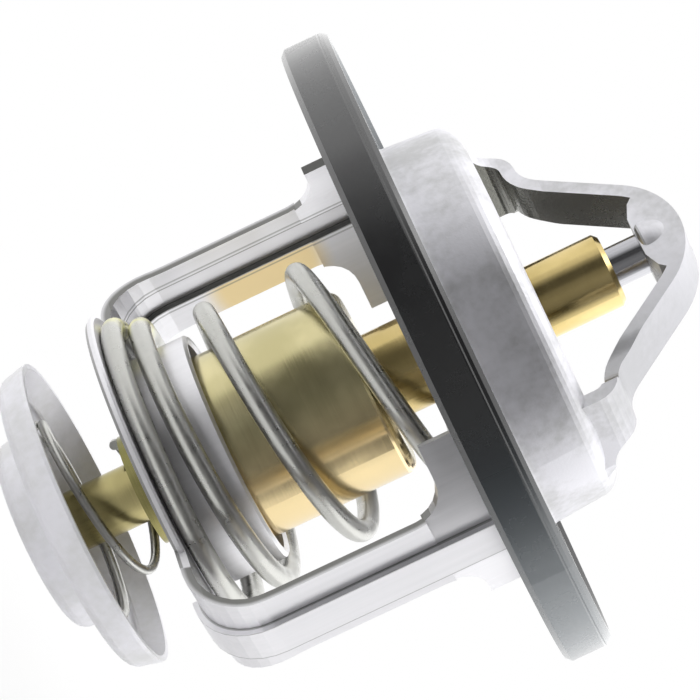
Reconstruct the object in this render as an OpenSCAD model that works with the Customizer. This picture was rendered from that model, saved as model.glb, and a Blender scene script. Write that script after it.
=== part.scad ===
// Wax thermostat for an engine's cooling water, with a bypass valve on its tail.
// +Z points along the axis, from the bypass disc towards the bridge.
// The origin is the middle of the gasket, where the thermostat is held in its housing.

/* [Flange and gasket] */
// Outer diameter of the rubber gasket
gasket_d = 56; // [54:0.5:60]
// Thickness of the gasket
gasket_t = 4.2; // [3.4:0.1:5.2]
// Rubber between the flange's edge and the gasket's outside
rim_wall = 1.6; // [1.3:0.1:2.2]
// How far the gasket's lips reach in, as a share of the flange outside the legs
lip_share = 0.48; // [0.3:0.02:0.6]
// Thickness of the sheet that the seat and the bridge are pressed from
seat_t = 1.2; // [1:0.1:1.5]

/* [Seat collar] */
// Outer diameter of the collar where it leaves the flange
collar_d = 34.2; // [33.6:0.1:35.2]
// Height of the collar's top above the middle of the gasket
collar_top = 8.35; // [7.6:0.05:9.5]
// Width of the seat's lip, from the collar's outside to the opening that the main valve closes
seat_lip = 3; // [2.7:0.1:3.4]
// Taper of the collar wall, as the loss of radius from foot to top
collar_taper = 0.3; // [0:0.05:0.5]
// Radius of the rolled shoulder on the collar
shoulder_r = 2; // [1.7:0.05:2.2]
// Radius where the collar leaves the flange
foot_r = 1.8; // [1.4:0.1:2.4]

/* [Bridge] */
// Height of the outside of the bridge above the middle of the gasket
bridge_top = 21.9; // [21:0.1:25]
// Width of the bridge's strap
strap_w = 4.2; // [3.4:0.1:5.5]
// Width of the strap at its narrowest, in the bend beside the step
strap_waist_w = 3.4; // [2.8:0.1:4.4]
// Width of the strap on the step
strap_shelf_w = 6.6; // [5.6:0.1:7.4]
// Width of the strap's foot where it meets the collar
strap_foot_w = 9.8; // [8:0.2:11]
// Distance from the axis to the outside of the strap's foot
strap_foot_x = 15.9; // [15.6:0.05:16.1]
// Height of the step in the strap, above the middle of the gasket
strap_step_z = 11.5; // [11.2:0.1:13]
// Turn of the bridge against the legs, in degrees
strap_turn = 1.5; // [-3:0.5:3]
// Outer radius of the bend at the top of the bridge
crown_r = 8.2; // [6.5:0.1:9]
// Slope of the strap between the step and the top, in degrees
strap_slope = 51; // [46:1:56]
// Diameter of the drawn cup that the piston pushes against
cup_d = 5.1; // [4.8:0.1:5.8]
// How far the cup is drawn down below the outside of the bridge
cup_drop = 3.9; // [3.4:0.1:4.4]

/* [Spring frame] */
// Distance from the axis to the outside of a leg
leg_x = 21.4; // [21:0.1:22]
// Width of a leg on one side of its rib
leg_wide = 4.1; // [3.4:0.1:4.8]
// Width of the leg on the rib's other side
leg_narrow = 3; // [2.6:0.1:4]
// Thickness of the frame's sheet
frame_t = 0.8; // [0.7:0.05:1.1]
// Depth of the frame's floor below the middle of the gasket
frame_floor = 26.3; // [25:0.1:28]
// Diameter of the round floor
dish_d = 29.7; // [29:0.1:31]
// Outer diameter of the collar that guides the capsule
guide_d = 20.4; // [19.6:0.1:20.8]
// Height of that collar, from the floor's underside
guide_h = 7; // [5:0.1:9]
// Angle that a leg's head reaches to its wide side
head_angle = 27.3; // [24:0.1:30]
// Angle that the head reaches to its narrow side
head_short_angle = 20.5; // [18:0.1:24]
// Height of the head below the flange
head_h = 4.4; // [3:0.1:5]
// Radius of the bend at the bottom of a leg
leg_bend_r = 5; // [3:0.1:5.5]
// Width of the rib that is pressed out along a leg
rib_w = 3.2; // [2.6:0.1:3.8]
// How far that rib stands out
rib_out = 0.6; // [0.3:0.05:0.65]

/* [Main spring] */
// Diameter of the main spring's wire
main_wire_d = 1.9; // [1.6:0.1:2.2]
// Middle radius of the spring's upper coils
main_coil_r = 10.75; // [10.5:0.05:11]
// Growth of that radius down to the lowest coil
main_coil_flare = 2.45; // [1.5:0.05:2.7]

/* [Wax element] */
// Outer diameter of the brass capsule
capsule_d = 16.5; // [15.5:0.1:17]
// Depth of the capsule's shoulder below the middle of the gasket
shoulder_depth = 6.4; // [5.6:0.1:7.5]
// Length of the capsule
capsule_l = 18; // [15:0.5:18.4]
// Wall of the capsule
capsule_wall = 0.9; // [0.7:0.05:1.1]
// Outer diameter of the guide above the valve
neck_d = 6.5; // [6:0.1:6.8]
// Outer diameter of the guide below the valve
neck_low_d = 7.8; // [7.4:0.1:8.6]
// Height of the guide's end above the middle of the gasket
neck_top = 15.1; // [14:0.1:16]
// Diameter of the piston
piston_d = 3.5; // [3:0.1:3.8]

/* [Main valve] */
// Height of the valve plate's underside above the middle of the gasket
plate_z = 0.2; // [0:0.05:0.6]
// Thickness of the valve plate
plate_t = 0.9; // [0.7:0.05:1.1]
// How far the rubber ring reaches out under the seat's lip
seal_reach = 1.1; // [0.8:0.05:1.2]
// How far the rubber ring reaches in beside the opening
seal_inset = 0.9; // [0.6:0.05:1.2]
// Thickness of the rubber ring
seal_t = 1.1; // [0.8:0.05:1.4]

/* [Bypass valve] */
// Diameter of the bypass disc
bypass_d = 27.4; // [25:0.1:28.4]
// Depth of the disc's rim below the middle of the gasket
bypass_rim = 32.5; // [31.5:0.1:34]
// Depth of the pan, from its rim to its underside
pan_h = 2.75; // [2.4:0.05:3.2]
// Diameter of the boss in the middle of the disc
boss_d = 17; // [15:0.1:17.6]
// Depth of the boss below the pan
boss_h = 2.75; // [2.4:0.05:3.4]
// Thickness of the disc's sheet
bypass_t = 0.7; // [0.5:0.05:0.9]
// Diameter of the brass stem
stem_d = 5.2; // [4.6:0.1:5.6]
// Outer diameter of the ring on the stem
ring_d = 9.8; // [9:0.1:10.6]
// Depth of that ring's top below the middle of the gasket
ring_depth = 27.5; // [27:0.1:28.5]
// Diameter of the bypass spring's wire
bypass_wire_d = 0.8; // [0.6:0.05:0.9]

/* [Hidden] */
$fn = 96;
steel = [0.74, 0.74, 0.73];
brass = [0.78, 0.66, 0.34];
rubber = [0.17, 0.18, 0.19];

// Room for a piece that slides, on its radius
run_gap = 0.04;
// Room for a tab in its slot, on each side
slot_gap = 0.1;
// Small lap by which shapes of one piece run into each other
lap = 0.2;

gasket_r = gasket_d / 2;
flange_r = gasket_r - rim_wall;
half_t = seat_t / 2;
lip_r = flange_r - lip_share * (flange_r - leg_x);
rim_h = 0.35;
rim_w = 0.95;
rim_slope = 0.3;
edge_cut = 0.45;
top_edge = 0.35;
draft = 0.1;
parting_z = gasket_t / 2 - 0.75;
parting_half = 0.12;
parting_depth = 0.05;

collar_r = collar_d / 2;
collar_in_r = collar_r - seat_t;
collar_top_r = collar_r - collar_taper;
lip_under = collar_top - seat_t;
seat_r = collar_top_r - seat_lip;
edge_in = 0.3;
foot_toe = 1.6;

step_r = 2.2;
strap_bend_r = 2.6;
waist_from = 9.3;
waist_to = 11.2;
waist_end = 11.8;
shelf_x = 14.4;
strap_head_z = bridge_top - crown_r;
cup_r = cup_d / 2;
cup_bottom = bridge_top - cup_drop;
cup_edge = 0.6;
cup_fade_r = 3.9;
cup_fade_angle = 31;
crown_in_r = crown_r - seat_t;
pocket_flat = 2.3;
pocket_reach = 3.9;
pocket_rise = 0.55;
pocket_angle = 40;
dimple_r = 1.1;
dimple_top_r = 1.7;
socket_depth = 1.2;
socket_gap = 0.02;
piston_r = piston_d / 2;
piston_top = cup_bottom + socket_depth;
piston_end = 1.0;
bore_r = piston_r + run_gap;

leg_in_x = leg_x - frame_t;
floor_top = -frame_floor + frame_t;
guide_r = guide_d / 2;
guide_top = -frame_floor + guide_h;
head_z = -half_t - head_h;
head_fillet = 2.8;
head_lap = 2;
flare_w = 1.4;
flare_h = 6.5;
flare_r = (flare_h * flare_h + flare_w * flare_w) / (2 * flare_w);
rib_from = dish_d / 2 + 1;
rib_top = -half_t - 0.8;
rib_wall = 0.4;
tab_angle = 11.5;
tab_top = half_t + 1.0;
tab_relief = 0.05;

capsule_r = capsule_d / 2;
capsule_in_r = capsule_r - capsule_wall;
capsule_bottom = -shoulder_depth - capsule_l;
crimp_t = 0.8;
guide_flange_t = 2.6;
diaphragm_t = 0.9;
guide_flange_top = -shoulder_depth - crimp_t;
guide_flange_bottom = guide_flange_top - guide_flange_t;
diaphragm_bottom = guide_flange_bottom - diaphragm_t;
neck_r = neck_d / 2;
neck_low_r = neck_low_d / 2;
mouth_r = 3.4;
mouth_h = 1.7;
plug_l = 6;
washer_t = 0.8;

plate_top = plate_z + plate_t;
seal_r = seat_r + seal_reach;
seal_in_r = seat_r - seal_inset;
seal_z = lip_under - seal_t;
plate_r = seal_in_r - 0.3;
retainer_h = 1.6;

stem_r = stem_d / 2;
ring_t = 0.7;
pan_floor = -bypass_rim - pan_h;
boss_bottom = pan_floor - boss_h;
boss_r = boss_d / 2;
clip_t = 0.7;
clip_r = stem_r + 1.5;
recess_h = 1.3;
clip_top = boss_bottom + recess_h;
bypass_spring_top = -ring_depth - ring_t;
bypass_spring_bottom = pan_floor + bypass_t;

// Points along an arc about (cx, cy)
function arc(cx, cy, r, from, to, n = 8) =
    [for (i = [0:n]) let (a = from + (to - from) * i / n) [cx + r * cos(a), cy + r * sin(a)]];

// The same points in the other order
function flipped(points) = [for (i = [len(points) - 1:-1:0]) points[i]];

// A turned ring between two radii and two heights
module ring(r_in, r_out, low, high) {
    translate([0, 0, low]) difference() {
        cylinder(r = r_out, h = high - low);
        translate([0, 0, -1]) cylinder(r = r_in, h = high - low + 2);
    }
}

// Outside of the strap in the plane of the bridge, from its foot to the middle of its top.
// inset moves the whole line inwards by the thickness of the sheet.
function strap_line(inset) =
    let (
        s = strap_slope,
        crown = crown_r - inset,
        crown_end = [crown * sin(s), strap_head_z + crown * cos(s)],
        bend = strap_bend_r + inset,
        step = step_r - inset,
        foot_x = strap_foot_x - inset,
        step_z = strap_step_z - inset,
        start_z = lip_under + lap,
        slope_dir = [cos(s), -sin(s)],
        bend_z = step_z + bend,
        run = (crown_end[1] - bend_z + bend * cos(s)) / sin(s),
        bend_x = crown_end[0] + slope_dir[0] * run + bend * sin(s)
    )
    concat(
        [[foot_x, start_z]],
        arc(foot_x - step, step_z - step, step, 0, 90, 6),
        arc(bend_x, bend_z, bend, 270, 270 - s, 6),
        arc(0, strap_head_z, crown, 90 - s, 90, 10)
    );

// Side view of one half of the strap
module strap_profile() {
    polygon(concat(strap_line(0), flipped(strap_line(seat_t))));
}

// One side of the strap's front view: a flared foot under a straight edge
function front_side(half, flare) =
    let (foot = strap_foot_w / 2)
    concat(
        [[foot + foot_toe, lip_under]],
        arc(foot, collar_top + flare, flare, 270, 180, 8),
        [[half, collar_top + flare + 2], [half, bridge_top + 1]]
    );

// Front view of the strap. Its -Y side is as wide as the step.
module strap_front() {
    half = strap_w / 2;
    shelf = strap_shelf_w / 2;
    foot = strap_foot_w / 2;
    wide = front_side(shelf, foot - shelf);
    polygon(concat(front_side(half, foot - half - edge_in), flipped([for (p = wide) [-p[0], p[1]]])));
}

// Top view of one half of the strap, on the +X side: its -Y edge has a waist in the bend and is
// wide on the step
module strap_top() {
    half = strap_w / 2;
    waist = strap_waist_w / 2;
    shelf = strap_shelf_w / 2;
    rise = shelf - waist;
    run = shelf_x - waist_end;
    r = (run * run + rise * rise) / (2 * rise);
    narrowing = waist_to - waist_from;
    polygon(concat(
        [[-lap, strap_foot_w], [-lap, -half]],
        [for (t = [0:0.125:1]) [waist_from + narrowing * t, (half - waist) * t * t * (3 - 2 * t) - half]],
        arc(waist_end, -waist - r, r, 90, 90 - asin(run / r), 8),
        [[2 * strap_foot_x, -shelf], [2 * strap_foot_x, strap_foot_w]]
    ));
}

// Side view of the pocket that is drawn down from the crown round the cup
module pocket_side() {
    polygon(concat(
        [[-pocket_reach, cup_bottom + pocket_rise], [-pocket_flat, cup_bottom]],
        [[pocket_flat, cup_bottom], [pocket_reach, cup_bottom + pocket_rise]],
        arc(0, strap_head_z, crown_in_r + lap, 90 - pocket_angle, 90 + pocket_angle, 8)
    ));
}

// Flange, collar and seat as one turned profile
module seat_profile() {
    polygon(concat(
        [[flange_r, -half_t], [flange_r, half_t]],
        arc(collar_r + foot_r, half_t + foot_r, foot_r, 270, 180),
        arc(collar_top_r - shoulder_r, collar_top - shoulder_r, shoulder_r, 0, 90),
        [[seat_r, collar_top], [seat_r, lip_under]],
        arc(collar_top_r - shoulder_r, collar_top - shoulder_r, shoulder_r - seat_t, 90, 0, 4),
        arc(collar_r + foot_r, half_t + foot_r, foot_r + seat_t, 180, 270)
    ));
}

// Pressed stainless piece: flange, collar with the valve seat, and the bridge with its cup
module seat_bridge() {
    socket_end = cup_bottom + socket_depth;
    color(steel) difference() {
        union() {
            rotate_extrude() seat_profile();
            rotate([0, 0, strap_turn]) intersection() {
                cylinder(r = collar_top_r - edge_in, h = 2 * bridge_top);
                rotate([90, 0, 0]) linear_extrude(2 * strap_foot_w, center = true) union() {
                    strap_profile();
                    mirror([1, 0]) strap_profile();
                    pocket_side();
                }
                for (side = [0, 180]) rotate([0, 0, side]) intersection() {
                    translate([-lap, 0, 0]) rotate([90, 0, 90])
                        linear_extrude(2 * strap_foot_x) strap_front();
                    linear_extrude(2 * bridge_top) strap_top();
                }
            }
            translate([0, 0, cup_bottom]) rotate_extrude() polygon(concat(
                [[0, 0]],
                arc(cup_r - cup_edge, cup_edge, cup_edge, 270, 360, 5),
                arc(cup_r - cup_fade_r, cup_edge, cup_fade_r, 0, cup_fade_angle, 6),
                [[0, cup_edge + cup_fade_r * sin(cup_fade_angle)]]
            ));
        }
        translate([0, 0, cup_bottom - 1]) cylinder(r = piston_r + socket_gap, h = socket_depth + 1);
        translate([0, 0, socket_end + seat_t])
            cylinder(r1 = dimple_r, r2 = dimple_top_r, h = bridge_top - socket_end - seat_t + 0.01);
        for (side = [0, 180]) rotate([0, 0, side]) rotate([0, 0, -tab_angle])
            translate([0, 0, -seat_t]) rotate_extrude(angle = 2 * tab_angle)
                translate([leg_in_x - slot_gap, 0]) square([frame_t + 2 * slot_gap, 2 * seat_t]);
    }
}

// Moulded rubber gasket with a slot for the flange and a raised rim
module flange_gasket() {
    top = gasket_t / 2;
    face = top - rim_h;
    color(rubber) rotate_extrude() polygon([
        [flange_r, -half_t], [lip_r, -half_t], [lip_r, -face], [gasket_r - rim_w - rim_slope, -face],
        [gasket_r - rim_w, -top], [gasket_r - edge_cut, -top], [gasket_r, -top + edge_cut],
        [gasket_r, parting_z - parting_half], [gasket_r - parting_depth, parting_z],
        [gasket_r, parting_z + parting_half], [gasket_r - draft, top - top_edge], [gasket_r - top_edge, top],
        [gasket_r - rim_w, top], [gasket_r - rim_w - draft, face], [lip_r, face],
        [lip_r, half_t], [flange_r, half_t]
    ]);
}

// One edge of a leg in front view, from its bottom to its head
function leg_edge(half, angle) =
    let (head = (leg_x + 1) * sin(angle))
    concat(
        [[half + flare_w, -frame_floor - 1]],
        arc(half + flare_r, flare_h - frame_floor, flare_r, 180 + asin(flare_h / flare_r), 180, 6),
        arc(half + head_fillet, head_z - head_fillet, head_fillet, 180, 90, 6),
        [[head, head_z], [head, half_t]]
    );

// Front view of one leg with its head
module leg_front() {
    wide = [for (p = leg_edge(leg_wide, head_angle)) [-p[0], p[1]]];
    polygon(concat(leg_edge(leg_narrow, head_short_angle), flipped(wide)));
}

// Side view of a strip that follows the leg: floor, bend and upright. It fills the space between
// two distances out from the leg's outside.
module leg_band(from, to, start_x, top_z) {
    r = leg_bend_r;
    polygon(concat(
        [[start_x, -frame_floor - to]],
        arc(leg_x - r, -frame_floor + r, r + to, 270, 360, 8),
        [[leg_x + to, top_z], [leg_x + from, top_z]],
        arc(leg_x - r, -frame_floor + r, r + from, 360, 270, 6),
        [[start_x, -frame_floor - from]]
    ));
}

// Leg with its rib and its curved head, on the +X side
module frame_leg() {
    head_low = head_z - head_lap - lap;
    tab_half = tab_angle - 0.3;
    difference() {
        intersection() {
            rotate([90, 0, 90]) linear_extrude(2 * leg_x) leg_front();
            union() {
                rotate([90, 0, 0]) linear_extrude(4 * leg_wide, center = true)
                    leg_band(-frame_t, 0, guide_r + frame_t, head_z - head_lap);
                rotate([0, 0, -head_angle]) rotate_extrude(angle = head_angle + head_short_angle)
                    translate([leg_in_x, head_low]) square([frame_t, -half_t - head_low]);
            }
        }
        rotate([90, 0, 0]) linear_extrude(rib_w - 2 * rib_wall, center = true)
            leg_band(-frame_t - lap, rib_out - frame_t, rib_from + frame_t, rib_top - frame_t);
    }
    rotate([90, 0, 0]) linear_extrude(rib_w, center = true)
        leg_band(rib_out - frame_t, rib_out, rib_from, rib_top);
    rotate([0, 0, -tab_half]) rotate_extrude(angle = 2 * tab_half)
        translate([leg_in_x + tab_relief, -half_t - lap])
            square([frame_t - 2 * tab_relief, tab_top + half_t + lap]);
}

// Frame that carries the main spring: round floor, guide collar and two legs
module spring_frame() {
    guide_in = guide_r - frame_t;
    bend = 1.2;
    color(steel) union() {
        rotate_extrude() polygon(concat(
            [[dish_d / 2 - 0.3, -frame_floor], [dish_d / 2, -frame_floor + 0.3]],
            [[dish_d / 2, floor_top - 0.2], [dish_d / 2 - 0.2, floor_top]],
            arc(guide_r + 0.4, floor_top + 0.4, 0.4, 270, 180, 4),
            [[guide_r, guide_top - 0.25], [guide_r - 0.25, guide_top], [guide_in + 0.25, guide_top]],
            [[guide_in, guide_top - 0.25]],
            arc(guide_in + bend, -frame_floor + bend, bend, 180, 270, 6)
        ));
        for (side = [0, 180]) rotate([0, 0, side]) frame_leg();
    }
}

// Steel piston, held between the bridge's cup and the wax element
module piston_pin() {
    color(steel) translate([0, 0, piston_end]) rotate_extrude() polygon([
        [0, 0], [piston_r - 0.3, 0], [piston_r, 0.3], [piston_r, piston_top - piston_end - 0.5],
        [piston_r - 0.5, piston_top - piston_end], [0, piston_top - piston_end]
    ]);
}

// Hard washer that keeps the rubber out of the piston's bore
module backup_washer() {
    color([0.92, 0.9, 0.84]) translate([0, 0, piston_end - washer_t])
        cylinder(r = piston_r + run_gap / 2, h = washer_t);
}

// Rubber plug that passes the wax's push to the piston
module rubber_plug() {
    color(rubber) translate([0, 0, piston_end - washer_t - plug_l])
        cylinder(r = piston_r + run_gap / 2, h = plug_l);
}

// Brass guide: flange inside the capsule, thick lower neck and thin upper neck
module guide_neck() {
    color(brass) difference() {
        rotate_extrude() polygon([
            [0, guide_flange_bottom], [capsule_in_r, guide_flange_bottom], [capsule_in_r, guide_flange_top],
            [neck_low_r, guide_flange_top], [neck_low_r, plate_z], [neck_r, plate_z],
            [neck_r, neck_top - 0.4], [neck_r - 0.4, neck_top], [0, neck_top]
        ]);
        translate([0, 0, guide_flange_bottom - 1])
            cylinder(r = bore_r, h = neck_top - guide_flange_bottom + 2);
        translate([0, 0, guide_flange_bottom - 0.01]) cylinder(r1 = mouth_r, r2 = bore_r, h = mouth_h);
        translate([0, 0, neck_top - 0.3]) cylinder(r1 = bore_r, r2 = bore_r + 0.4, h = 0.31);
    }
}

// Brass cup, with its mouth rolled in over the guide's flange
module capsule_case() {
    r = capsule_r;
    roll = 0.9;
    color(brass) rotate_extrude() polygon(concat(
        [[0, capsule_bottom], [stem_r + 1, capsule_bottom]],
        arc(r - 1.4, capsule_bottom + 1.4, 1.4, 270, 360, 6),
        arc(r - roll, -shoulder_depth - roll, roll, 0, 90, 6),
        [[neck_low_r + 1.4, -shoulder_depth], [neck_low_r + 1.2, guide_flange_top]],
        [[capsule_in_r, guide_flange_top], [capsule_in_r, diaphragm_bottom]],
        [[capsule_in_r, capsule_bottom + 1.6], [capsule_in_r - 0.7, capsule_bottom + 0.9]],
        [[0, capsule_bottom + 0.9]]
    ));
}

// Rubber diaphragm clamped under the guide's flange
module diaphragm() {
    color(rubber) translate([0, 0, diaphragm_bottom]) cylinder(r = capsule_in_r, h = diaphragm_t);
}

// Wax and copper powder that fill the capsule
module wax_charge() {
    low = capsule_bottom + 0.9;
    color([0.72, 0.42, 0.25]) rotate_extrude() polygon([
        [0, low], [capsule_in_r - 0.7, low], [capsule_in_r, low + 0.7], [capsule_in_r, diaphragm_bottom],
        [0, diaphragm_bottom]
    ]);
}

// Dished steel plate: hub on the guide, floor over the spring, wall and rim under the rubber ring
module valve_plate() {
    t = plate_t;
    wall_top_r = seal_in_r - 0.1;
    rim_r = seal_r - 0.5;
    color(steel) rotate_extrude() polygon([
        [neck_r, plate_z], [plate_r - 0.5, plate_z], [plate_r, plate_z + 0.5],
        [wall_top_r, seal_z - t], [rim_r, seal_z - t], [rim_r, seal_z],
        [wall_top_r - t, seal_z], [plate_r - t, plate_top + 0.3], [plate_r - t - 0.3, plate_top],
        [neck_r, plate_top]
    ]);
}

// Rubber ring that seals against the seat
module valve_seal() {
    color(rubber) rotate_extrude() polygon([
        [seal_in_r, seal_z], [seal_r - 0.15, seal_z], [seal_r, seal_z + 0.2], [seal_r, lip_under - 0.4],
        [seal_r - 0.3, lip_under], [seal_in_r + 0.3, lip_under], [seal_in_r, lip_under - 0.3]
    ]);
}

// Pressed ring that locks the plate on the guide
module valve_retainer() {
    color(brass) rotate_extrude() polygon([
        [neck_r, plate_top], [neck_r + 1.9, plate_top], [neck_r + 1.9, plate_top + 0.6],
        [neck_r + 0.8, plate_top + retainer_h], [neck_r, plate_top + retainer_h]
    ]);
}

// Brass stem under the capsule, with a groove for its clip
module bypass_stem() {
    end_z = boss_bottom + 0.3;
    groove_r = stem_r - 0.6;
    color(brass) rotate_extrude() polygon([
        [0, end_z], [stem_r - 0.3, end_z], [stem_r, end_z + 0.3], [stem_r, clip_top - clip_t],
        [groove_r, clip_top - clip_t], [groove_r, clip_top], [stem_r, clip_top],
        [stem_r, capsule_bottom], [0, capsule_bottom]
    ]);
}

// Brass ring on the stem that the bypass spring pushes against
module stem_ring() {
    color(brass) ring(stem_r, ring_d / 2, -ring_depth - ring_t, -ring_depth);
}

// Clip that stops the bypass disc on the stem
module stem_clip() {
    groove_r = stem_r - 0.6;
    color(steel) ring(groove_r, clip_r, clip_top - clip_t, clip_top);
}

// Pressed bypass disc: a pan that opens upwards, a round boss and a recess for the clip
module bypass_disc() {
    t = bypass_t;
    r = bypass_d / 2;
    wall_r = r - 0.35;
    bend = 1.1;
    edge = 1.3;
    hole_r = stem_r + run_gap;
    recess_r = clip_r + 0.6;
    recess_top = clip_top;
    boss_in = boss_r - t;
    color(steel) rotate_extrude() polygon(concat(
        [[hole_r, recess_top], [recess_r, recess_top], [recess_r + 0.3, boss_bottom]],
        arc(boss_r - edge, boss_bottom + edge, edge, 270, 360, 6),
        [[boss_r + 0.1, pan_floor]],
        arc(wall_r - bend, pan_floor + bend, bend, 270, 355, 6),
        [[r, -bypass_rim - 0.3], [r, -bypass_rim], [r - 0.5, -bypass_rim]],
        arc(wall_r - bend, pan_floor + bend, bend - t, 355, 270, 4),
        [[boss_in + 0.1, pan_floor + t]],
        arc(boss_r - edge, boss_bottom + edge, edge - t, 360, 270, 4),
        [[recess_r + 0.3 + t, boss_bottom + t], [recess_r + t, recess_top + t], [hole_r, recess_top + t]]
    ));
}

// One ring of a round wire of radius w, at a point on the coil, in the plane that holds the axis
function wire_ring(r, z, a, w, sides) =
    [for (i = [0:sides - 1]) let (b = 360 * i / sides, q = r + w * cos(b))
        [q * cos(a), q * sin(a), z + w * sin(b)]];

// Round wire along a coil. Each station is [angle, radius, height].
module coil_wire(stations, w, sides) {
    n = len(stations);
    points = [for (s = stations) each wire_ring(s[1], s[2], s[0], w, sides)];
    walls = [for (k = [0:n - 2]) for (i = [0:sides - 1])
        let (a = k * sides + i, b = k * sides + (i + 1) % sides)
        each [[a, a + sides, b], [b, a + sides, b + sides]]];
    caps = concat(
        [for (i = [1:sides - 2]) [0, i, i + 1]],
        [for (i = [1:sides - 2]) let (e = (n - 1) * sides) [e, e + i + 1, e + i]]
    );
    polyhedron(points, concat(walls, caps), convexity = 8);
}

// Sizes of the main spring: a flat turn on the frame's floor, rising coils, and a flat turn under
// the plate
main_w = main_wire_d / 2;
main_low = floor_top + main_w;
main_high = plate_z - main_w;
main_start = 90;
main_turn = 1810;
main_flare_h = 4.3;
main_stations_per_turn = 30;
blur_angle = 30;
blur_step_angle = 10;

// Share of the rise that the wire has made at an angle along the coil. The pitch is uneven.
main_marks = [
    [370, 0], [480, 0.045], [589, 0.085], [676, 0.115], [765, 0.175], [949, 0.31], [1036, 0.39],
    [1123, 0.49], [1165, 0.54], [1309, 0.66], [1425, 0.82], [1600, 1]
];

// Height of the main spring's wire at an angle along the coil, with the marks rounded off
function main_height(a) =
    let (shares = [for (d = [-blur_angle:blur_step_angle:blur_angle]) lookup(a + d, main_marks)])
    main_low + (main_high - main_low) * (shares * [for (share = shares) 1]) / len(shares);

// Radius of the coil at that height: it widens towards the floor
function main_radius(z) = main_coil_r + main_coil_flare * exp(-(z - main_low) / main_flare_h);

// Main spring between the frame's floor and the valve plate
module main_spring() {
    n = ceil(main_turn / 360 * main_stations_per_turn);
    stations = [for (i = [0:n])
        let (a = main_start + main_turn * i / n, z = main_height(a)) [a, main_radius(z), z]];
    color(steel) coil_wire(stations, main_w, 14);
}

// Sizes of the bypass spring: a flat turn in the pan, a rising cone and a short turn under the ring
bypass_w = bypass_wire_d / 2;
bypass_low = bypass_spring_bottom + bypass_w;
bypass_high = bypass_spring_top - bypass_w;
bypass_start = -140;
bypass_flat = 330;
bypass_rise = 300;
bypass_end = 110;
bypass_low_r = boss_r + 0.25;
bypass_high_r = ring_d / 2 - bypass_w;

// Bypass spring: a cone of thin wire between the pan and the ring on the stem
module bypass_spring() {
    turn = bypass_flat + bypass_rise + bypass_end;
    n = 70;
    stations = [for (i = [0:n]) let (
        a = turn * i / n,
        u = min(1, max(0, (a - bypass_flat) / bypass_rise)),
        r = bypass_low_r + (bypass_high_r - bypass_low_r) * pow(u, 1.5)
        ) [bypass_start + a, r, bypass_low + (bypass_high - bypass_low) * u]];
    color(steel) coil_wire(stations, bypass_w, 10);
}

seat_bridge();
flange_gasket();
spring_frame();
piston_pin();
rubber_plug();
backup_washer();
main_spring();
guide_neck();
capsule_case();
diaphragm();
wax_charge();
valve_plate();
valve_seal();
valve_retainer();
bypass_stem();
stem_ring();
bypass_spring();
bypass_disc();
stem_clip();
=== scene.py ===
# %% [markdown]
# # An engine thermostat, dressed in Blender
# The part comes from CAD with its real sizes. This lesson loads it, gives each surface the finish
# of the real one, and winds the two springs again, because CAD leaves their round wires faceted.

import math

import bpy
from mathutils import Matrix, Vector


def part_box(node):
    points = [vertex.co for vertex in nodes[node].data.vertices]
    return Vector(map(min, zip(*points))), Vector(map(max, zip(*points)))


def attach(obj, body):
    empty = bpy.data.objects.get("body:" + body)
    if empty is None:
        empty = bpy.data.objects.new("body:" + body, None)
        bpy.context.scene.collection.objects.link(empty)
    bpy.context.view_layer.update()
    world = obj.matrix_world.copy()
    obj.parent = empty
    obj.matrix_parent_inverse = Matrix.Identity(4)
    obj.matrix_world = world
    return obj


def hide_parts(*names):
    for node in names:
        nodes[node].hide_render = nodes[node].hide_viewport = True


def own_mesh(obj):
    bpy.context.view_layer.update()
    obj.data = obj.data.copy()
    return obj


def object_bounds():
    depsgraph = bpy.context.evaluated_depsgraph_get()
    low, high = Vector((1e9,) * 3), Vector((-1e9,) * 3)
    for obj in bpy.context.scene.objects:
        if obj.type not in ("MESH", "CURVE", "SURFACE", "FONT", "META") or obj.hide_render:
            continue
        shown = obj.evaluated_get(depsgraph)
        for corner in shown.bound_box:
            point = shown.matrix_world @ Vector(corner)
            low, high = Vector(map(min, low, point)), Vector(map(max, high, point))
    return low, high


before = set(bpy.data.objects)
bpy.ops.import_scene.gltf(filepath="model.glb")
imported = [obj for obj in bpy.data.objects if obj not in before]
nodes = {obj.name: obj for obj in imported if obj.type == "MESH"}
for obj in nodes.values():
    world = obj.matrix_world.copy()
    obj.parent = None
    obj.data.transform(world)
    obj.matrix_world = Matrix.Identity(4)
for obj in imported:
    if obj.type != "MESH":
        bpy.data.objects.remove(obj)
cad_low, cad_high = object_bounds()
MM = 0.001
print("nodes:", len(nodes), "box in mm:", [round(v / MM, 2) for v in (*cad_low, *cad_high)])

# %% [markdown]
# ## Camera
# The photograph was taken from the side, almost level with the gasket, with the camera rolled so
# that the part's axis runs up to the right. The view comes from fitting the round rims in the
# picture. A long lens keeps the near and the far side at almost the same scale.

# %% Camera
PICTURE_PX = 700
FOCAL_PX = 3200
SENSOR_MM = 36
NEAREST, FURTHEST = 0.01, 50
EYE = Vector((0.191755, -0.185176, 0.004855))
VIEW_RIGHT = Vector((0.263143, 0.339835, 0.902922))
VIEW_DOWN = Vector((0.634505, 0.644050, -0.427320))
VIEW_FORWARD = Vector((-0.726745, 0.685355, -0.046150))

camera = bpy.data.objects.new("camera", bpy.data.cameras.new("camera"))
bpy.context.scene.collection.objects.link(camera)
turn = Matrix((VIEW_RIGHT, -VIEW_DOWN, -VIEW_FORWARD)).transposed()
camera.matrix_world = Matrix.Translation(EYE) @ turn.to_4x4()
camera.data.sensor_width = SENSOR_MM
camera.data.lens = FOCAL_PX / PICTURE_PX * SENSOR_MM
camera.data.clip_start = NEAREST
camera.data.clip_end = FURTHEST
bpy.context.scene.camera = camera
print("lens in mm:", round(camera.data.lens, 1))

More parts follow.
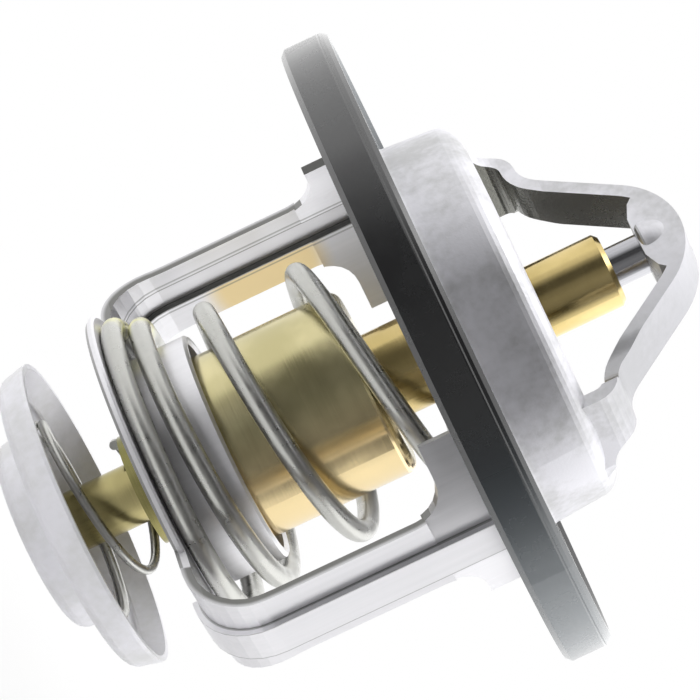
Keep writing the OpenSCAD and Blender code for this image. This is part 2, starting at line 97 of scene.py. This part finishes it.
# %% [markdown]
# ## Sums on sockets
# A finish is a small calculation on noise and position. This class wraps a shader socket, so that
# the sums can be written as Python expressions, and each one adds its Math node.


# %% A socket that can be used in sums
class Wire:
    """One output socket of a node tree, or a plain number, with the usual operators."""

    def __init__(self, tree, source):
        self.tree = tree
        self.source = source

    def plug(self, target):
        """Feeds this value into an input socket."""
        if isinstance(self.source, bpy.types.NodeSocket):
            self.tree.links.new(self.source, target)
        else:
            target.default_value = self.source

    def math(self, operation, *others):
        """Adds a Math node that starts from this value."""
        node = self.tree.nodes.new("ShaderNodeMath")
        node.operation = operation
        for slot, value in zip(node.inputs, (self, *others)):
            (value if isinstance(value, Wire) else Wire(self.tree, value)).plug(slot)
        return Wire(self.tree, node.outputs[0])

    def __add__(self, other):
        return self.math("ADD", other)

    def __sub__(self, other):
        return self.math("SUBTRACT", other)

    def __mul__(self, other):
        return self.math("MULTIPLY", other)

    def __radd__(self, other):
        return Wire(self.tree, other).math("ADD", self)

    def __rsub__(self, other):
        return Wire(self.tree, other).math("SUBTRACT", self)

    def __rmul__(self, other):
        return Wire(self.tree, other).math("MULTIPLY", self)


# %% [markdown]
# A material is built by one method that takes a node's type, its settings and the values or links
# of its sockets. Mixing colours, bump and the shader's own sockets have a method each, because they
# come back in most finishes.


# %% A material and its nodes
class Shading:
    """A material with a Principled shader, and the means to add nodes to it."""

    def __init__(self, name):
        self.material = bpy.data.materials.new(name)
        self.material.use_nodes = True
        self.tree = self.material.node_tree
        self.shader = next(n for n in self.tree.nodes if n.type == "BSDF_PRINCIPLED")
        self.place = self.node("ShaderNodeTexCoord", out="Object")

    def node(self, kind, settings=None, inputs=None, out=0):
        """Adds a node. Its settings are set first, then its sockets get values or wires."""
        node = self.tree.nodes.new(kind)
        for name, value in (settings or {}).items():
            setattr(node, name, value)
        for name, value in (inputs or {}).items():
            slot = node.inputs[name]
            if isinstance(value, Wire):
                value.plug(slot)
            else:
                slot.default_value = value
        return Wire(self.tree, node.outputs[out])

    def vectors(self, operation, *values, out="Value"):
        """Vector Math, such as a dot product or a distance."""
        inputs = dict(enumerate(values))
        return self.node("ShaderNodeVectorMath", {"operation": operation}, inputs, out=out)

    def mix(self, factor, first, second):
        """A colour between two colours, each a tuple or a wire."""
        node = self.tree.nodes.new("ShaderNodeMix")
        node.data_type = "RGBA"
        # A Mix node keeps its colours in inputs 6 and 7 and output 2.
        for slot, value in ((0, factor), (6, first), (7, second)):
            if isinstance(value, Wire):
                value.plug(node.inputs[slot])
            else:
                node.inputs[slot].default_value = value if slot == 0 else (*value, 1.0)
        return Wire(self.tree, node.outputs[2])

    def bump(self, height, distance, strength):
        """Feeds a height in the range 0 to 1 into the shader's normal."""
        inputs = {"Height": height, "Distance": distance, "Strength": strength}
        self.node("ShaderNodeBump", None, inputs).plug(self.shader.inputs["Normal"])

    def set(self, **values):
        """Sets or links sockets of the shader. An underscore stands for a space."""
        for name, value in values.items():
            slot = self.shader.inputs[name.replace("_", " ")]
            if isinstance(value, Wire):
                value.plug(slot)
            else:
                slot.default_value = (*value, 1.0) if isinstance(value, tuple) else value


# %% [markdown]
# The patterns that several finishes share start from the place on the part, in object coordinates,
# so that nothing has to be unwrapped, and from the direction in which the surface looks.


# %% Patterns
class Finish(Shading):
    """A material with the patterns that feed its colour, roughness and bump."""

    def axis(self, name):
        """One coordinate of the place, in metres."""
        index = "XYZ".index(name)
        return self.node("ShaderNodeSeparateXYZ", None, {"Vector": self.place}, out=index)

    def along(self, direction):
        """How far the place lies along a direction, in metres."""
        return self.vectors("DOT_PRODUCT", self.place, direction)

    def facing(self, direction):
        """How far the surface looks along a direction: from -1 to 1."""
        normal = self.node("ShaderNodeNewGeometry", out="Normal")
        return self.vectors("DOT_PRODUCT", normal, direction)

    def stretched(self, scale):
        """Object coordinates with an own scale for each axis."""
        return self.node("ShaderNodeMapping", None, {"Vector": self.place, "Scale": scale})

    def noise(self, scale, detail, vector=None):
        """Noise between 0 and 1. A scale of 1000 has features of about a millimetre."""
        inputs = {"Vector": vector or self.place, "Scale": scale, "Detail": detail}
        return self.node("ShaderNodeTexNoise", None, inputs)

    def ramp(self, value, low, high, to_low=0.0, to_high=1.0):
        """A smooth step from to_low to to_high while the value goes from low to high."""
        inputs = {"Value": value, "From Min": low, "From Max": high, "To Min": to_low, "To Max": to_high}
        return self.node("ShaderNodeMapRange", {"interpolation_type": "SMOOTHSTEP"}, inputs)

    def near(self, point, inner, outer):
        """1 closer to a point than inner, fading to 0 at outer."""
        return self.ramp(self.vectors("DISTANCE", self.place, point), inner, outer, 1.0, 0.0)


def dress(finish, *pieces):
    """Gives pieces one finish."""
    for piece in pieces:
        piece.data.materials.clear()
        piece.data.materials.append(finish.material)
    print(finish.material.name, "on", ", ".join(piece.name for piece in pieces))


# %% [markdown]
# ## Finishes
# The bridge and the bypass disc are stainless sheet that was tumbled after pressing: a fine even
# grain with faint clouds in it. A picture of metal could be wrapped round them, but noise needs no
# unwrapping and stays sharp from close by. The grain is also a very shallow bump. The bridge's inner
# faces get painted shade and are smoother, and its strap gets painted shade on the side that
# LOWER_SIDE points to. Both are found from the place and from where the surface looks, so they stay
# on the part when the view turns. The valve plate and the clip, which the photograph hides, are
# plainer sheet.

# %% Tumbled stainless
LOWER_SIDE = Vector((0.6861, 0.7275, 0))
BRIDGE_MIDDLE = (0, 0, 6 * MM)
STRAP_FROM, STRAP_FULL = 9 * MM, 12 * MM
PAINTED_INNER_SHADE = (0.3, 0.3, 0.27)
PAINTED_STRAP_SHADE = (0.52, 0.52, 0.54)


def tumbled_steel(name, light, dark, rough, metallic, middle=None):
    """Stainless with clouds and a grain. The bridge gives its middle, and then gets painted shade and
    less roughness where it looks down or sideways towards it, and painted shade on one side of its strap."""
    finish = Finish(name)
    clouds = finish.noise(130, 3.0)
    mottle = finish.noise(1500, 2.0)
    grain = finish.noise(4200, 2.0)
    tone = finish.ramp(clouds + 0.25 * mottle, 0.42, 0.78)
    colour = finish.mix(tone, (dark, dark, dark * 1.01), (light, light * 0.995, light * 1.04))
    roughness = finish.ramp(clouds + 0.25 * grain, 0.4, 0.8, rough - 0.04, rough + 0.06)
    if middle:
        from_middle = finish.vectors("SUBTRACT", finish.place, middle, out="Vector")
        outward = finish.vectors("NORMALIZE", from_middle, out="Vector")
        # Painted shade on the inner faces that look towards the middle, which are also smoother.
        inner = finish.ramp(finish.facing(outward), -0.45, -0.1, 1.0, 0.0)
        inner = inner * finish.ramp(finish.facing((0, 0, 1)), 0.3, 0.6, 1.0, 0.0)
        # Painted shade on the side of the strap that LOWER_SIDE points to.
        on_strap = finish.ramp(finish.axis("Z"), STRAP_FROM, STRAP_FULL, 0.0, 0.75)
        dull = finish.ramp(finish.along(LOWER_SIDE), -6 * MM, 8 * MM) * on_strap
        colour = finish.mix(dull, finish.mix(inner, colour, PAINTED_INNER_SHADE), PAINTED_STRAP_SHADE)
        roughness = roughness - 0.22 * inner
    finish.set(Base_Color=colour, Metallic=metallic, Roughness=roughness)
    finish.bump(grain, 0.00002, 0.5)
    return finish


dress(tumbled_steel("tumbled_steel", 0.92, 0.62, 0.46, 0.85, BRIDGE_MIDDLE), nodes["seat_bridge"])
dress(tumbled_steel("pan_steel", 0.94, 0.8, 0.48, 0.85), nodes["bypass_disc"])
dress(tumbled_steel("plate_steel", 0.7, 0.6, 0.25, 1.0), nodes["valve_plate"], nodes["stem_clip"])

# %% [markdown]
# The piston is ground steel, darker and smoother than the pressings. Its fine lines are noise that
# is drawn out along the axis.

# %% Ground steel
ground = Finish("ground_steel")
drawn = ground.noise(1.0, 2.0, vector=ground.stretched((5000, 5000, 40)))
ground.set(
    Base_Color=ground.mix(drawn, (0.45, 0.45, 0.47), (0.57, 0.57, 0.6)),
    Metallic=1.0,
    Roughness=ground.ramp(drawn, 0.3, 0.7, 0.13, 0.2),
)
ground.bump(drawn, 0.000002, 0.5)
dress(ground, nodes["piston_pin"])

# %% [markdown]
# The spring frame is sheet that still shows the lines that it got in rolling. They are noise drawn
# out along the legs. Its cut edges are darker than its faces, partly as sheared metal is and partly
# as painted shade, and the creases beside the ribs and the floor's lower edge get painted shade. A
# painted mask could show them, but a few sums find them too: from the place across the leg, and from
# the depth below the leg's outer face, which is measured round the bend at the leg's foot as well.

# %% Places on the spring frame
RIB_OUT = 0.6 * MM
RIB_INSIDE, RIB_OUTSIDE = 1.2 * MM, 1.6 * MM
LEG_BEND = 5 * MM
SHEET = 0.8 * MM
GUIDE_CLEAR = 15.5 * MM
frame_low, frame_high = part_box("spring_frame")
leg_out = frame_high.x - RIB_OUT
leg_low = frame_low.z + RIB_OUT
edge_top = leg_low + 0.3 * MM

rolled = Finish("rolled_steel")
from_axis = rolled.axis("X").math("ABSOLUTE")
across = rolled.axis("Y").math("ABSOLUTE")
beyond = (from_axis - (leg_out - LEG_BEND)).math("MAXIMUM", 0.0)
below = (rolled.axis("Z") - (leg_low + LEG_BEND)).math("MINIMUM", 0.0)
depth = (beyond * beyond + below * below).math("SQRT") - LEG_BEND
on_leg = rolled.ramp(from_axis, GUIDE_CLEAR, GUIDE_CLEAR + 0.2 * MM)
in_sheet = rolled.ramp(depth, -0.04 * MM, 0.0, 1.0, 0.0)
sideways = rolled.ramp(rolled.facing((0, 1, 0)).math("ABSOLUTE"), 0.8, 0.95)
print("legs in mm: out", round(leg_out / MM, 2), "low", round(leg_low / MM, 2))

# %% [markdown]
# Each dark place is a factor from 0 to 1, and the largest one counts. The far leg gets a painted
# yellow reflection of the brass capsule on its inner face, beside the capsule.

# %% Rolled stainless
CAPSULE_REFLECTION_PLACE = (SHEET - leg_out, 2.5 * MM, -12 * MM)
PAINTED_REFLECTION_COLOUR = (0.9, 0.72, 0.4)
EDGE_AND_SHADE_COLOUR = (0.22, 0.22, 0.21)

# Cut edges: darker as sheared metal is, with painted shade on top.
cut_edge_and_shade = sideways * on_leg * in_sheet * rolled.ramp(depth, -0.45 * MM, -0.05 * MM, 1.0, 0.35)
# Painted shade in the creases beside the ribs, inside and outside.
inside = rolled.ramp((across - RIB_INSIDE).math("ABSOLUTE"), 0.05 * MM, 0.17 * MM, 0.8, 0.0)
inside = in_sheet * rolled.ramp(depth, -0.1 * MM, 0.0, 1.0, 0.0) * inside
outside = rolled.ramp((across - RIB_OUTSIDE).math("ABSOLUTE"), 0.03 * MM, 0.14 * MM, 0.6, 0.0)
outside = outside * (1 - sideways * rolled.ramp(depth, 0.08 * MM, 0.2 * MM))
painted_crease_shade = on_leg * (inside + outside)
# Painted shade along the floor's lower edge.
painted_floor_edge_shade = (1 - on_leg) * rolled.ramp(rolled.axis("Z"), edge_top - 0.08 * MM, edge_top, 0.7, 0.0)
# The largest of these darkens towards the edge colour. All of it is painted shade except the cut edges'
# own darkness.
dark = cut_edge_and_shade.math("MAXIMUM", painted_crease_shade).math("MAXIMUM", painted_floor_edge_shade)

# Painted reflection of the brass capsule on the far leg's inner face.
painted_capsule_reflection = rolled.near(CAPSULE_REFLECTION_PLACE, 4 * MM, 6.5 * MM) * rolled.ramp(rolled.facing((1, 0, 0)), 0.5, 0.8)
painted_capsule_reflection = painted_capsule_reflection * rolled.ramp(rolled.axis("Y"), RIB_INSIDE, RIB_INSIDE + 0.2 * MM)
lines = rolled.noise(1.0, 3.0, vector=rolled.stretched((2600, 2600, 60)))
clouds = rolled.noise(120, 2.0)
sheet = rolled.mix(lines, (0.83, 0.83, 0.85), (0.93, 0.92, 0.95))
rolled.set(
    Base_Color=rolled.mix(dark, rolled.mix(painted_capsule_reflection, sheet, PAINTED_REFLECTION_COLOUR), EDGE_AND_SHADE_COLOUR),
    Metallic=1.0,
    Roughness=rolled.ramp(clouds + 0.3 * lines, 0.4, 0.9, 0.3, 0.42),
)
rolled.bump(lines, 0.00001, 0.7)
dress(rolled, nodes["spring_frame"])

# %% [markdown]
# The guide, the capsule and the stem are turned brass. Turning leaves fine rings round the axis,
# which are noise by height alone, and handling leaves a slightly darker film in places. The rings
# could be an anisotropic shine, but a bump also shows them from close by. The capsule gets painted
# warm light on the side that LOWER_SIDE points to, the stem is darker, and its ring is darker still
# with painted shade.


# %% Turned brass
def turned_brass(name, film_colour, clean_colour, painted_warm_light=None):
    """Turned brass under a film that is darker in places, with painted warm light on one side if given.
    """
    finish = Finish(name)
    rings = finish.noise(1.0, 2.0, vector=finish.stretched((0, 0, 5200)))
    film = finish.noise(170, 3.0)
    colour = finish.mix(finish.ramp(film, 0.35, 0.7), film_colour, clean_colour)
    # Painted warm light on the side that LOWER_SIDE points to.
    if painted_warm_light:
        colour = finish.mix(finish.ramp(finish.facing(LOWER_SIDE), -0.2, 0.6), colour, painted_warm_light)
    roughness = finish.ramp(film + 0.3 * rings, 0.4, 0.9, 0.12, 0.24)
    finish.set(Base_Color=colour, Metallic=1.0, Roughness=roughness)
    finish.bump(rings, 0.000003, 0.5)
    return finish


guide_brass = turned_brass("turned_brass", (0.64, 0.5, 0.21), (0.86, 0.68, 0.32))
capsule_brass = turned_brass("capsule_brass", (0.6, 0.54, 0.29), (0.82, 0.74, 0.43), (0.97, 0.78, 0.44))
stem_brass = turned_brass("stem_brass", (0.4, 0.35, 0.16), (0.62, 0.54, 0.26))
# The ring's dark colours are painted shade.
ring_brass_painted_shade = turned_brass("ring_brass_painted_shade", (0.2, 0.19, 0.07), (0.4, 0.36, 0.15))
dress(guide_brass, nodes["guide_neck"], nodes["valve_retainer"])
dress(capsule_brass, nodes["capsule_case"])
dress(stem_brass, nodes["bypass_stem"])
dress(ring_brass_painted_shade, nodes["stem_ring"])

# %% [markdown]
# The gasket is black moulded rubber: a very dark grey with a soft shine, and a grain so fine that
# it only breaks the shine up. The shine could come from a lighter grey, but then the dark places
# would be grey too, so a clear coat gives it. A painted bluish-grey light lies on the side that
# LOWER_SIDE points to.

# %% Moulded rubber
PAINTED_SIDE_LIGHT_COLOUR = (0.2, 0.235, 0.26)

moulded = Finish("moulded_rubber")
skin = moulded.noise(2600, 3.0)
dust = moulded.noise(240, 3.0)
black = moulded.mix(moulded.ramp(dust, 0.4, 0.75), (0.002, 0.002, 0.003), (0.006, 0.007, 0.008))
# Painted bluish-grey light on the side that LOWER_SIDE points to.
painted_side_light = moulded.ramp(moulded.facing(LOWER_SIDE), 0.1, 1.0)
moulded.set(
    Base_Color=moulded.mix(painted_side_light, black, PAINTED_SIDE_LIGHT_COLOUR),
    Roughness=moulded.ramp(dust + 0.3 * skin, 0.4, 0.9, 0.2, 0.3),
    IOR=1.8,
    Coat_Weight=0.85,
    Coat_Roughness=0.2,
    Coat_IOR=1.6,
)
moulded.bump(skin, 0.00001, 0.3)
dress(moulded, nodes["flange_gasket"], nodes["valve_seal"], nodes["diaphragm"], nodes["rubber_plug"])

# %% [markdown]
# Spring wire keeps faint streaks from drawing. On wire as thin as this, a plain noise looks the
# same as lines along it. A yellow tint lies over the turns of the main spring at one place, found
# by its distance from one point, and faint enough for the streaks to show through.

# %% Spring wire
YELLOW_MARK_CENTRE = (-8.8 * MM, -9.3 * MM, -23.3 * MM)
YELLOW_MARK_COLOUR = (0.86, 0.84, 0.45)

wire = Finish("drawn_wire")
streaks = wire.noise(900, 3.0)
yellow_mark = wire.near(YELLOW_MARK_CENTRE, 1.5 * MM, 4.5 * MM) * wire.ramp(streaks, 0.4, 0.6, 0.45, 1.0)
bare = wire.mix(streaks, (0.5, 0.5, 0.47), (0.66, 0.66, 0.63))
wire.set(
    Base_Color=wire.mix(yellow_mark, bare, YELLOW_MARK_COLOUR),
    Metallic=1.0,
    Roughness=wire.ramp(streaks, 0.3, 0.7, 0.26, 0.4),
)
wire.bump(streaks, 0.00001, 0.5)
dress(wire, nodes["main_spring"], nodes["bypass_spring"])

# %% [markdown]
# The wax with its copper dust and the white washer are hidden in the capsule and the guide. Each
# gets one grain of two near colours.


# %% Wax and washer
def grained(name, scale, dark, light, roughness):
    """A dull material with a grain of two colours."""
    finish = Finish(name)
    finish.set(Base_Color=finish.mix(finish.noise(scale, 2.0), dark, light), Roughness=roughness)
    return finish


dress(grained("copper_wax", 4000, (0.5, 0.25, 0.12), (0.72, 0.42, 0.25), 0.6), nodes["wax_charge"])
dress(grained("washer_plastic", 900, (0.75, 0.72, 0.64), (0.85, 0.82, 0.75), 0.4), nodes["backup_washer"])

# %% [markdown]
# ## Springs
# CAD keeps the springs as faceted wires. Here they are wound again with round ones: a small circle
# swept by a Screw modifier, whose rings are then set on the same coil as the CAD wire's. A curve
# with a round bevel could do it too. The Screw gives a plain mesh, whose rings can be placed one by
# one, so that pitch and radius may change along the coil.


# %% Wind a wire
def closed_wire(name, stations, wire_r, sides=20):
    """A round wire through stations of (angle in degrees, radius, height), with closed ends."""
    bpy.ops.object.select_all(action="DESELECT")
    upright = (math.pi / 2, 0, 0)
    bpy.ops.mesh.primitive_circle_add(vertices=sides, radius=wire_r, location=(0, 0, 0), rotation=upright)
    piece = bpy.context.object
    piece.name = name
    bpy.ops.object.transform_apply(location=True, rotation=True, scale=True)
    screw = piece.modifiers.new("coil", "SCREW")
    screw.angle = math.radians(stations[-1][0] - stations[0][0])
    screw.screw_offset = stations[-1][2] - stations[0][2]
    screw.steps = screw.render_steps = len(stations) - 1
    screw.use_smooth_shade = True
    bpy.ops.object.modifier_apply(modifier="coil")
    for index, vertex in enumerate(piece.data.vertices):
        angle, radius, height = stations[index // sides]
        around = 2 * math.pi * (index % sides) / sides
        out = radius + wire_r * math.cos(around)
        turn = math.radians(angle)
        vertex.co = (out * math.cos(turn), out * math.sin(turn), height + wire_r * math.sin(around))
    bpy.ops.object.mode_set(mode="EDIT")
    bpy.ops.mesh.select_all(action="SELECT")
    bpy.ops.mesh.fill_holes(sides=0)
    bpy.ops.mesh.select_all(action="SELECT")
    bpy.ops.mesh.normals_make_consistent(inside=False)
    bpy.ops.object.mode_set(mode="OBJECT")
    bpy.ops.object.shade_smooth_by_angle(angle=math.radians(40))
    print(name, "has", len(piece.data.vertices), "vertices")
    return piece


# %% [markdown]
# The pitch of the main spring is uneven, so its height comes from a few marks along the coil,
# smoothed over 60 degrees. Its lowest turns flare out to sit in the frame.

# %% Main spring
MAIN_WIRE = 0.95 * MM
MAIN_R, MAIN_FLARE, FLARE_HEIGHT = 10.75 * MM, 2.45 * MM, 4.3 * MM
MAIN_START, MAIN_TURN, MAIN_STEPS = 90, 1810, 360
# Each mark is an angle in degrees and the share of the height that is reached there.
MAIN_MARKS = [(370, 0), (480, 0.045), (589, 0.085), (676, 0.115), (765, 0.175), (949, 0.31),
              (1036, 0.39), (1123, 0.49), (1165, 0.54), (1309, 0.66), (1425, 0.82), (1600, 1)]


def between(marks, at):
    """The value at a place between marks of (place, value)."""
    if at <= marks[0][0]:
        return marks[0][1]
    for (a, low), (b, high) in zip(marks, marks[1:]):
        if at <= b:
            return low + (high - low) * (at - a) / (b - a)
    return marks[-1][1]


main_low, main_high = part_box("main_spring")
low_z, high_z = main_low.z + MAIN_WIRE, main_high.z - MAIN_WIRE
stations = []
for step in range(MAIN_STEPS + 1):
    angle = MAIN_START + MAIN_TURN * step / MAIN_STEPS
    shares = [between(MAIN_MARKS, angle + d) for d in range(-30, 31, 10)]
    z = low_z + (high_z - low_z) * sum(shares) / len(shares)
    stations.append((angle, MAIN_R + MAIN_FLARE * math.exp(-(z - low_z) / FLARE_HEIGHT), z))
main_spring = closed_wire("main_spring_wire", stations, MAIN_WIRE)

# %% [markdown]
# The bypass spring lies flat in the pan for most of a turn, then climbs and narrows to the ring on
# the stem, where it ends flat again.

# %% Bypass spring
BYPASS_WIRE = 0.4 * MM
PAN_R, RING_R = 8.75 * MM, 4.5 * MM
BYPASS_START, BYPASS_TURN, BYPASS_STEPS = -140, 740, 240
CLIMB_FROM, CLIMB_TURN = 330, 300

bypass_low, bypass_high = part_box("bypass_spring")
low_z, high_z = bypass_low.z + BYPASS_WIRE, bypass_high.z - BYPASS_WIRE
stations = []
for step in range(BYPASS_STEPS + 1):
    angle = BYPASS_TURN * step / BYPASS_STEPS
    share = min(1, max(0, (angle - CLIMB_FROM) / CLIMB_TURN))
    radius = PAN_R + (RING_R - PAN_R) * share ** 1.5
    stations.append((BYPASS_START + angle, radius, low_z + (high_z - low_z) * share))
bypass_spring = closed_wire("bypass_spring_wire", stations, BYPASS_WIRE, sides=16)

# %% [markdown]
# Each new wire stands for its CAD node, which is hidden, and rides on that node's body.

# %% Springs on their joints
homes = ((main_spring, "main_spring", "housing"), (bypass_spring, "bypass_spring", "wax_element"))
for piece, node, body in homes:
    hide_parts(node)
    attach(piece, body)
    dress(wire, piece)
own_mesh(main_spring)
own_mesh(bypass_spring)

# %% [markdown]
# ## Studio
# Metal looks like what it reflects. The part stands in a white tent with one opening, where the
# camera looks in, so that the round pieces get a dark band between bright ones. Lamps would leave
# hard spots in the metal. A world whose brightness depends on the direction gives soft bands. The
# opening is grey in its middle and darkest round that, and the tent is a little brighter on the
# side that is low in the picture.

# %% Light of the tent
WHITE = (1, 1, 1, 1)
TOWARDS_CAMERA = Vector((0.7275, -0.6861, 0))
LOOKS_LOWER = math.radians(9)
OPENING = (TOWARDS_CAMERA * math.cos(LOOKS_LOWER) + LOWER_SIDE * math.sin(LOOKS_LOWER)).normalized()
# Each stop is an angle from the opening's middle in degrees and the brightness there.
OPENING_STOPS = [(0, 0.3), (18, 0.24), (32, 0.09), (50, 0.09), (60, 0.4), (74, 1.1), (95, 1.4)]

world = bpy.data.worlds.new("tent")
world.use_nodes = True
bpy.context.scene.world = world
tree = world.node_tree
looked_up = tree.nodes.new("ShaderNodeTexCoord")


def toward(vector):
    """How far the looked-up direction points along a vector: from -1 to 1."""
    node = tree.nodes.new("ShaderNodeVectorMath")
    node.operation = "DOT_PRODUCT"
    node.inputs[1].default_value = vector
    tree.links.new(looked_up.outputs["Generated"], node.inputs[0])
    return Wire(tree, node.outputs["Value"])


tent = tree.nodes.new("ShaderNodeValToRGB")
tent.color_ramp.interpolation = "EASE"
# A new ramp has two stops already, and the others are added.
stops = tent.color_ramp.elements
for index, (degrees, level) in enumerate(OPENING_STOPS):
    stop = stops[index] if index < 2 else stops.new(degrees / 180)
    stop.position = degrees / 180
    stop.color = (level, level, level, 1)
(toward(OPENING).math("ARCCOSINE") * (1 / math.pi)).plug(tent.inputs["Fac"])
brightness = Wire(tree, tent.outputs["Color"]) * (toward(LOWER_SIDE) * 0.2 + 0.94)
print("opening looks along", [round(v, 3) for v in OPENING])

# %% [markdown]
# The camera itself sees plain white instead of the tent: a Mix Shader takes the one or the other,
# by whether the ray comes from the camera. So the background is white with no more light on the
# part.


# %% White for the camera
def mix_shaders(tree, factor, first, second):
    """Mixes two shaders by a wire, and gives the output socket."""
    node = tree.nodes.new("ShaderNodeMixShader")
    factor.plug(node.inputs[0])
    tree.links.new(first, node.inputs[1])
    tree.links.new(second, node.inputs[2])
    return node.outputs[0]


walls = tree.nodes["Background"]
walls.inputs["Color"].default_value = WHITE
brightness.plug(walls.inputs["Strength"])
backdrop = tree.nodes.new("ShaderNodeBackground")
backdrop.inputs["Color"].default_value = WHITE
from_camera = Wire(tree, tree.nodes.new("ShaderNodeLightPath").outputs["Is Camera Ray"])
surroundings = mix_shaders(tree, from_camera, walls.outputs[0], backdrop.outputs[0])
tree.links.new(surroundings, tree.nodes["World Output"].inputs[0])
print("world nodes:", len(tree.nodes))

# %% [markdown]
# The part hangs over white paper, as it hangs in its housing, with room below for the stroke of its
# tail. The paper ends in front of it, below the tent's opening, and the metal shows the darker floor
# past the paper. The camera sees paper everywhere, with a faint shadow under the part and fully
# white further out, so that no horizon shows. A camera under the paper looks through it.

# %% Paper floor
TAIL_ROOM = 10 * MM
PAPER_ENDS, PAPER_GONE = 0.07, 0.2
SHADOW_WITHIN, WHITE_BEYOND = 0.05, 0.14

bpy.ops.object.select_all(action="DESELECT")
bpy.ops.mesh.primitive_plane_add(size=8, location=(0, 0, cad_low.z - TAIL_ROOM))
floor = bpy.context.object
floor.name = "floor"

paper = Finish("paper_floor")
past_paper = paper.ramp(paper.along(OPENING), PAPER_ENDS, PAPER_GONE)
paper.set(Base_Color=paper.mix(past_paper, (0.93, 0.93, 0.93), (0.1, 0.1, 0.1)), Roughness=0.9)
glow = paper.tree.nodes.new("ShaderNodeEmission")
glow.inputs["Color"].default_value = WHITE
clear = paper.tree.nodes.new("ShaderNodeBsdfTransparent")
reach = paper.vectors("LENGTH", paper.place)
whitened = paper.node("ShaderNodeLightPath", out="Is Camera Ray")
whitened = whitened * paper.ramp(reach, SHADOW_WITHIN, WHITE_BEYOND, 0.86, 1.0)
upper = mix_shaders(paper.tree, whitened, paper.shader.outputs[0], glow.outputs[0])
under = paper.node("ShaderNodeNewGeometry", out="Backfacing")
surface = mix_shaders(paper.tree, under, upper, clear.outputs[0])
ending = next(n for n in paper.tree.nodes if n.type == "OUTPUT_MATERIAL")
paper.tree.links.new(surface, ending.inputs[0])
dress(paper, floor)

# %% [markdown]
# A weak square lamp overhead adds to the soft shadow on the paper. The Standard view transform
# leaves colours as they are written.

# %% Lamp and view
LAMP_SIDE = Vector((-0.2, -0.3, 1))
LAMP_AWAY, LAMP_SIZE, LAMP_WATTS = 0.6, 0.3, 0.5

lamp = bpy.data.objects.new("lamp_over", bpy.data.lights.new("lamp_over", "AREA"))
lamp.data.size = LAMP_SIZE
lamp.data.energy = LAMP_WATTS
bpy.context.scene.collection.objects.link(lamp)
middle = (cad_low + cad_high) / 2
lamp.location = middle + LAMP_SIDE.normalized() * LAMP_AWAY
lamp.rotation_mode = "QUATERNION"
lamp.rotation_quaternion = (middle - lamp.location).to_track_quat("-Z", "Y")
lamp.visible_camera = False
bpy.context.scene.view_settings.view_transform = "Standard"
print("lamp at", [round(v, 3) for v in lamp.location])
